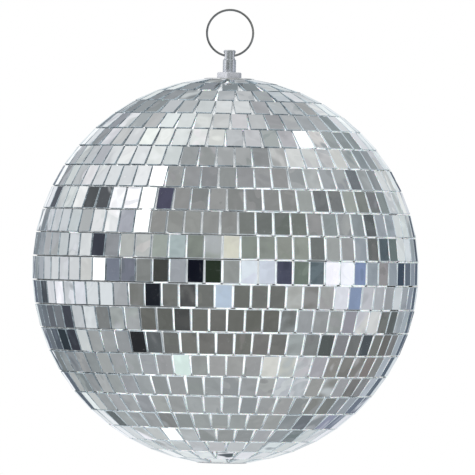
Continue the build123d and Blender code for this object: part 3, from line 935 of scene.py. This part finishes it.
# Each window: azimuth from the camera, to the right; elevation; half width; half height; softness;
# and its colour as a screen shows it, 0 to 255. Later ones lie over earlier ones.
ROOM = (
    # Ceiling and floor
    (0, 90, 180, 22, 5, (188, 190, 193)),
    (-100, 74, 45, 9, 5, (214, 216, 216)),
    (180, 52, 50, 8, 5, (178, 182, 185)),
    (-172, 64, 20, 6, 2, (208, 211, 214)),
    (0, -90, 180, 16, 6, (154, 158, 160)),
    # The backdrop behind the ball
    (180, 6, 26, 16, 3, (224, 229, 233)),
    (180, 17, 12, 8, 3, (207, 214, 217)),
    (180, -26, 30, 16, 5, (218, 222, 226)),
    (180, -50, 30, 8, 4, (180, 184, 188)),
    (-163, 32, 17, 9, 2, (142, 147, 152)),
    (180, 36, 10, 6, 2, (140, 145, 151)),
    (160, 27, 14, 7, 2, (206, 209, 212)),
    # Left of the camera: a pale wall above, a darker floor below
    (-105, 42, 45, 28, 7, (222, 225, 227)),
    (-132, 32, 12, 9, 4, (180, 183, 188)),
    (-112, 4, 36, 13, 5, (200, 204, 209)),
    (-100, -13, 30, 10, 3, (212, 216, 222)),
    (-130, -17, 24, 7, 2, (88, 96, 106)),
    (-108, -46, 48, 14, 8, (156, 160, 163)),
    (-62, -18, 10, 9, 3, (174, 177, 179)),
    # Round the camera: a grey room
    (0, 36, 60, 30, 7, (139, 141, 141)),
    (0, 62, 60, 10, 5, (150, 152, 154)),
    (28, 27, 24, 5, 2, (114, 118, 116)),
    (0, 14, 60, 7, 3, (132, 138, 133)),
    (0, 0, 62, 6, 2, (138, 142, 142)),
    (0, -15, 58, 8, 3, (112, 114, 112)),
    (-8, -28, 52, 9, 4, (104, 105, 102)),
    (-2, -43, 50, 8, 4, (112, 113, 111)),
    (0, -57, 60, 8, 4, (152, 154, 155)),
    # Right of the camera
    (105, 38, 42, 16, 6, (150, 155, 159)),
    (97, 55, 26, 8, 3, (204, 205, 207)),
    (118, 8, 30, 14, 6, (146, 154, 162)),
    (138, 12, 11, 10, 2, (206, 210, 214)),
    (141, 33, 13, 7, 2, (138, 145, 150)),
    (149, -3, 8, 9, 2, (138, 146, 158)),
    (85, -46, 30, 9, 4, (184, 189, 194)),
    (100, -13, 14, 9, 3, (182, 185, 191)),
    (57, -28, 11, 12, 3, (154, 157, 160)),
    (152, -20, 14, 12, 4, (166, 174, 184)),
    (148, -48, 18, 9, 3, (142, 147, 153)),
    (80, -61, 14, 6, 2, (188, 192, 197)),
    # White soft boxes and their reflections off paper
    (-61, 52, 7, 6, 1, (255, 255, 255)),
    (-60, 38, 7, 6, 1, (255, 255, 255)),
    (-54, 26, 5, 5, 1, (255, 255, 255)),
    (-78, 0, 6, 6, 1, (255, 255, 255)),
    (-68, 60, 12, 4, 3, (226, 228, 231)),
    (-80, 32, 14, 8, 2, (240, 241, 246)),
    (-118, 56, 8, 5, 2, (246, 248, 248)),
    (113, 58, 10, 6, 2, (255, 255, 255)),
    (38, 74, 10, 3, 2, (212, 212, 206)),
    (-157, -51, 5, 4, 1, (255, 255, 255)),
    (-37, -55, 7, 5, 1, (208, 226, 222)),
    (47, -54, 13, 5, 2, (202, 202, 198)),
    # Bright things level with the ball
    (72, 0, 10, 6, 1, (240, 241, 252)),
    (19, 0, 12, 6, 1, (214, 220, 232)),
    (0, -14, 5, 6, 1, (178, 194, 211)),
    (45, -13, 5, 6, 1, (176, 177, 176)),
    (64, -13, 4, 5, 1, (163, 164, 165)),
    (75, -13, 6, 5, 1, (214, 217, 228)),
    (129, -8, 6, 5, 1, (202, 206, 210)),
    (-40, 13, 6, 6, 1, (164, 170, 166)),
    (-56, 13, 9, 6, 1, (186, 187, 187)),
    (-29, 14, 5, 6, 1, (172, 184, 187)),
    (-5, 17, 6, 3, 3, (172, 178, 180)),
    (3, 14, 5, 6, 1, (204, 203, 192)),
    (-92, 9, 5, 4, 1, (224, 226, 230)),
    # Dark things
    (-45, 40, 5, 5, 1, (76, 76, 94)),
    (-104, 28, 6, 4, 1, (86, 89, 92)),
    (-93, 30, 5, 4, 1, (90, 93, 97)),
    (-147, 13, 5, 3, 1, (94, 98, 106)),
    (-82, 11, 4, 4, 1, (62, 65, 76)),
    (-72, 13, 4, 5, 1, (146, 149, 153)),
    (-67, 0, 5, 6, 1, (122, 128, 143)),
    (-60, 0, 4, 6, 1, (114, 118, 130)),
    (-50, 0, 5, 6, 1, (124, 127, 128)),
    (-37, 0, 5, 6, 1, (70, 71, 69)),
    (-27, 0, 4, 6, 1, (158, 163, 168)),
    (-17, 0, 5, 6, 1, (20, 22, 32)),
    (-6, -1, 5, 5, 2, (46, 55, 45)),
    (36, 0, 5, 6, 1, (72, 75, 92)),
    (45, 0, 4, 6, 2, (112, 122, 116)),
    (56, 0, 5, 6, 2, (98, 109, 116)),
    (88, 0, 4, 5, 1, (122, 137, 168)),
    (84, -12, 4, 4, 1, (138, 153, 182)),
    (-42, -12, 5, 6, 1, (34, 37, 44)),
    (-24, -18, 5, 4, 3, (58, 60, 64)),
    (-28, -27, 4, 4, 2, (74, 76, 76)),
    (-64, -38, 6, 4, 1, (40, 42, 45)),
    (-52, -39, 5, 4, 2, (92, 97, 100)),
    (-84, -21, 5, 4, 1, (125, 128, 129)),
    (76, -34, 6, 4, 1, (90, 94, 95)),
    (115, -24, 11, 4, 2, (120, 126, 132)),
    (76, 34, 10, 4, 1, (117, 120, 122)),
    (110, 34, 8, 5, 1, (110, 116, 122)),
    (101, 18, 6, 4, 1, (98, 103, 105)),
    (100, 9, 5, 4, 1, (106, 109, 109)),
    (111, 7, 5, 4, 1, (86, 98, 105)),
    (121, 8, 4, 4, 1, (104, 116, 117)),
    (114, 26, 6, 3, 1, (112, 116, 118)),
    (-129, -18, 6, 4, 1, (48, 56, 62)),
    (-116, -18, 5, 9, 2, (64, 67, 76)),
    (-138, -6, 5, 4, 1, (66, 72, 78)),
    (-154, -32, 5, 4, 1, (94, 100, 104)),
    (129, 0, 5, 4, 1, (62, 74, 88)),
    (138, 0, 5, 4, 1, (98, 107, 120)),
    (163, 0, 5, 5, 2, (78, 84, 94)),
    (140, -41, 7, 6, 2, (126, 132, 138)),
    (161, -9, 4, 10, 1, (92, 102, 116)),
    (168, 4, 3, 9, 1, (88, 96, 110)),
    (157, -24, 4, 6, 1, (108, 116, 130)),
    (166, -34, 4, 5, 1, (120, 126, 138)),
    (-163, -7, 4, 9, 1, (92, 100, 112)),
    (-169, 8, 3, 7, 1, (112, 120, 130)),
    (179.5, -39, 3, 2, 0.6, (88, 96, 101)),
    # Small things of every tone
    (-145, 46, 5, 4, 1, (172, 177, 180)),
    (-134, 41, 4, 3, 1, (182, 185, 188)),
    (-122, 31, 4, 3, 1, (216, 216, 220)),
    (-151, 27, 4, 4, 1, (146, 150, 154)),
    (-66, 22, 4, 4, 2, (176, 178, 187)),
    (121, 46, 6, 7, 1, (200, 201, 200)),
    (97, 72, 9, 3, 1, (160, 165, 166)),
    (152, 35, 4, 4, 1, (127, 136, 140)),
    (149, 17, 4, 4, 1, (205, 207, 209)),
    (92, 20, 5, 4, 1, (131, 139, 143)),
    (126, 20, 5, 4, 1, (136, 143, 145)),
    (104, 27, 5, 4, 1, (122, 126, 126)),
    (156, 6, 3, 3, 1, (141, 150, 154)),
    (140, 5, 5, 4, 1, (219, 223, 228)),
    (-152, 4, 9, 4, 1, (131, 138, 144)),
    (-130, 5, 8, 4, 2, (166, 170, 173)),
    (-146, 0, 8, 3, 1, (157, 163, 169)),
    (-148, -6, 9, 4, 1, (106, 114, 122)),
    (-149, -21, 6, 3, 1, (156, 160, 163)),
    (-154, -13, 4, 4, 1, (127, 133, 136)),
    (-159, -20, 4, 3, 1, (226, 232, 234)),
    (-148, -29, 6, 3, 1, (174, 178, 180)),
    (-109, -27, 5, 3, 1, (190, 194, 197)),
    (-115, -32, 5, 3, 1, (131, 136, 140)),
    (87, -22, 5, 4, 1, (137, 137, 147)),
    (64, -37, 6, 3, 1, (128, 130, 133)),
    (141, -50, 4, 3, 1, (115, 121, 128)),
    (153, -34, 4, 3, 1, (131, 137, 155)),
    (148, -29, 4, 3, 1, (140, 148, 156)),
    (-161, 11, 6, 4, 1, (236, 239, 243)),
    (-178, 22, 3, 3, 1, (126, 129, 132)),
    (178, 21, 2, 3, 1, (168, 174, 180)),
    (-168, 43, 5, 3, 1, (197, 202, 205)),
    (167, 38, 5, 3, 1, (186, 194, 198)),
    (-137, 53, 4, 3, 1, (190, 192, 194)),
    (-139, -5, 3, 3, 1, (68, 74, 80)),
    (-149, -12, 4, 3, 1, (98, 106, 113)),
    (-104, -18, 5, 4, 1, (198, 202, 207)),
    (89, -33, 4, 3, 1, (129, 130, 133)),
    (155, -43, 4, 3, 1, (123, 131, 135)),
    (-167, -35, 4, 3, 1, (174, 177, 180)),
    (166, -41, 4, 3, 1, (214, 220, 225)),
    (107, -17, 10, 3, 1, (208, 208, 209)),
    (119, -16, 4, 3, 1, (112, 114, 114)),
    (130, -13, 4, 3, 1, (92, 97, 98)),
    (110, -25, 4, 3, 1, (74, 80, 86)),
    (121, -23, 4, 3, 1, (106, 109, 107)),
    (131, -19, 4, 3, 1, (102, 103, 102)),
    (142, -15, 4, 3, 1, (124, 124, 126)),
    (99, -29, 4, 3, 1, (112, 114, 114)),
    (77, -46, 8, 3, 1, (176, 175, 182)),
    (96, -39, 5, 3, 1, (133, 134, 132)),
    (112, -34, 9, 3, 1, (120, 121, 120)),
    (127, -27, 4, 3, 1, (125, 121, 121)),
    (137, -22, 4, 3, 1, (132, 134, 134)),
    (98, -51, 8, 3, 1, (156, 156, 157)),
    (114, -43, 8, 3, 1, (129, 129, 128)),
    (131, -35, 6, 3, 1, (118, 118, 119)),
    (142, -28, 4, 3, 1, (127, 129, 132)),
    (122, -52, 7, 3, 1, (134, 134, 134)),
    (136, -43, 5, 3, 1, (127, 129, 130)),
    (-155, -33, 3, 3, 1, (94, 101, 104)),
    (-160, -38, 3, 3, 1, (180, 185, 188)),
    (-170, -26, 3, 3, 1, (192, 198, 200)),
    (-136, -11, 4, 3, 1, (90, 95, 102)),
    (-123, -14, 4, 3, 1, (106, 112, 118)),
    (-141, -27, 4, 3, 1, (134, 141, 144)),
    (-133, -62, 5, 3, 1, (133, 134, 135)),
    (-118, -8, 4, 3, 1, (224, 227, 234)),
    (-99, 20, 4, 3, 1, (184, 187, 189)),
    (-89, 1, 4, 3, 1, (188, 190, 192)),
    (-155, 18, 3, 3, 1, (173, 177, 182)),
    (-161, 11, 3, 2, 1, (242, 246, 249)),
    (-149, 38, 4, 3, 1, (212, 215, 217)),
    (58, 39, 5, 3, 1, (162, 165, 166)),
    (94, 30, 4, 3, 1, (164, 168, 166)),
    (128, 36, 3, 3, 1, (168, 170, 173)),
    (59, 13, 4, 3, 1, (113, 117, 117)),
    (108, -2, 4, 3, 1, (139, 138, 140)),
    (157, 9, 3, 2, 1, (217, 221, 219)),
)
REST_OF_ROOM = (150, 153, 155)
SILVERING = 0.89  # how much of what it sees a mirror gives back
OVER_WHITE = 1.35  # a shade of 255 stands for a light source
STIR = 0.10  # how far directions wander, so that no edge in the room is straight
STIR_SCALE = 7.0
CELL_SCALE = 7.5
CELL_HUE = 0.035
CELL_LEVEL = (0.92, 0.26)  # the darkest cell, and the step from there to the lightest
RIPPLE_SCALE = 22.0
RIPPLE = (0.92, 1.08)
GLOW = (0.86, 0.87, 0.88, 1)


def seen_as(tone):
    """The light that a mirror shows on a screen as this tone, with parts from 0 to 255."""
    light = []
    for shade in tone:
        share = shade / 255
        linear = share / 12.92 if share < 0.04 else ((share + 0.055) / 1.055) ** 2.4
        light.append(linear / SILVERING * (OVER_WHITE if shade == 255 else 1.0))
    return (*light, 1)


def room_colour(w, direction):
    """The colour of the room in each direction."""
    spread = {0: w.noise(direction, STIR_SCALE, colour=True), 1: (STIR,) * 3, 2: direction}
    stirred = w.node("ShaderNodeVectorMath", spread, operation="MULTIPLY_ADD").outputs[0]
    middle = {0: stirred, 1: (STIR / 2,) * 3}
    stirred = w.node("ShaderNodeVectorMath", middle, operation="SUBTRACT").outputs[0]
    parts = w.split(stirred)
    turn = w.math("ARCTAN2", parts["X"], w.math("MULTIPLY", parts["Y"], -1.0))
    azimuth = w.math("MULTIPLY", turn, 180 / math.pi)
    elevation = w.math("MULTIPLY", w.math("ARCSINE", parts["Z"]), 180 / math.pi)
    window = window_group()
    colour = seen_as(REST_OF_ROOM)
    for *numbers, tone in ROOM:
        inputs = dict(zip(WINDOW_INPUTS, (azimuth, elevation, *numbers)))
        mask = w.node("ShaderNodeGroup", inputs, node_tree=window)
        colour = w.mix(mask.outputs[0], colour, seen_as(tone))
    # Clutter: cells of slightly different tone and hue, so that no two tiles show quite the same
    cells = w.node("ShaderNodeTexVoronoi", {"Vector": stirred, "Scale": CELL_SCALE})
    hues = w.mix(CELL_HUE, grey(1.0), cells.outputs["Color"])
    shades = w.node("ShaderNodeSeparateColor", {0: cells.outputs["Color"]})
    darkest, step = CELL_LEVEL
    level = w.math("MULTIPLY_ADD", shades.outputs[0], step, darkest)
    ripple = w.ramp(w.noise(direction, RIPPLE_SCALE), 0.3, 0.7, *RIPPLE)
    level = w.math("MULTIPLY", level, ripple)
    scaled = {0: w.mix(1.0, colour, hues, "MULTIPLY"), "Scale": level}
    return w.node("ShaderNodeVectorMath", scaled, operation="SCALE").outputs[0]


def make_world():
    """The camera sees white paper. Only reflections see the room; diffuse light is an even glow,
    which saves working the whole room out for each stray ray."""
    world = bpy.data.worlds.new("studio")
    scene.world = world
    world.use_nodes = True
    world.cycles.sampling_method = "NONE"
    w = Graph(world.node_tree)
    room = world.node_tree.nodes["Background"]
    direction = w.node("ShaderNodeTexCoord").outputs["Generated"]
    w.feed(room.inputs["Color"], room_colour(w, direction))
    rays = w.node("ShaderNodeLightPath").outputs
    paper = w.mix(rays["Is Camera Ray"], GLOW, grey(1.0))
    plain = w.node("ShaderNodeBackground", {"Color": paper})
    shaders = {0: rays["Is Glossy Ray"], 1: plain.outputs[0], 2: room.outputs[0]}
    choice = w.node("ShaderNodeMixShader", shaders)
    w.feed(world.node_tree.nodes["World Output"].inputs["Surface"], choice.outputs[0])


make_world()


# ---- Stage, lights and camera -------------------------------------------------------------

FLOOR_DROP = 0.30
FLOOR_RADIUS = 2.6


def make_floor():
    """A pale round floor. It fades out at its rim, and from below it is clear."""
    low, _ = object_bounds()
    data = bpy.data.meshes.new("floor")
    mesh = bmesh.new()
    bmesh.ops.create_circle(mesh, cap_ends=True, segments=96, radius=FLOOR_RADIUS)
    mesh.to_mesh(data)
    mesh.free()
    floor = bpy.data.objects.new("floor", data)
    scene.collection.objects.link(floor)
    floor.location.z = low.z - FLOOR_DROP
    floor.visible_glossy = False
    material, g, shader = new_material("floor_paint")
    place = g.place()
    g.dress(shader, g.mix(g.noise(place, 3.0, 4.0), grey(0.70), grey(0.74)), 0.8)
    from_middle = g.node("ShaderNodeVectorMath", {0: place}, operation="LENGTH").outputs["Value"]
    faded = g.ramp(from_middle, FLOOR_RADIUS * 0.3, FLOOR_RADIUS * 0.95)
    below = g.node("ShaderNodeNewGeometry").outputs["Backfacing"]
    clear = g.node("ShaderNodeBsdfTransparent")
    shaders = {0: g.math("MAXIMUM", faded, below), 1: shader.outputs[0], 2: clear.outputs[0]}
    seen = g.node("ShaderNodeMixShader", shaders)
    g.feed(g.tree.nodes["Material Output"].inputs["Surface"], seen.outputs[0])
    data.materials.append(material)


def softbox(name, azimuth_deg, elevation_deg, distance, size, radiance):
    """A rectangular soft light that faces the ball. Mirrors see the room's soft boxes instead."""
    width, height = size
    data = bpy.data.lights.new(name, "AREA")
    data.shape = "RECTANGLE"
    data.size = width
    data.size_y = height
    data.energy = radiance * math.pi * width * height
    lamp = bpy.data.objects.new(name, data)
    scene.collection.objects.link(lamp)
    a, e = math.radians(azimuth_deg), math.radians(elevation_deg)
    away = Vector((math.sin(a) * math.cos(e), -math.cos(a) * math.cos(e), math.sin(e)))
    lamp.location = BALL_CENTRE + away * distance
    lamp.rotation_mode = "QUATERNION"
    lamp.rotation_quaternion = away.to_track_quat("Z", "Y")
    lamp.visible_camera = False
    lamp.visible_glossy = False


make_floor()
softbox("left_key", -62, 22, 2.0, (1.5, 1.2), 5.0)
softbox("front_fill", 5, 0, 2.4, (1.6, 1.2), 3.4)
softbox("top_fill", 0, 80, 1.6, (1.4, 1.4), 1.0)

CAMERA_DISTANCE = 3.8
VIEW_WIDTH = 0.246  # what the frame spans at the ball
RIGHT_OF_BALL = 6.2 * MM
ABOVE_BALL = 17.2 * MM
CAMERA_ROLL = math.radians(1.1)

camera_data = bpy.data.cameras.new("camera")
camera_data.sensor_width = 36.0
camera_data.lens = camera_data.sensor_width * CAMERA_DISTANCE / VIEW_WIDTH
camera_data.clip_start = 0.05
camera_data.clip_end = 50.0
camera = bpy.data.objects.new("camera", camera_data)
scene.collection.objects.link(camera)
aim = Matrix.Rotation(math.pi / 2, 3, "X") @ Matrix.Rotation(CAMERA_ROLL, 3, "Z")
offset = aim @ Vector((RIGHT_OF_BALL, ABOVE_BALL, CAMERA_DISTANCE))
camera.matrix_world = Matrix.Translation(BALL_CENTRE + offset) @ aim.to_4x4()
scene.camera = camera

scene.view_settings.view_transform = "Standard"
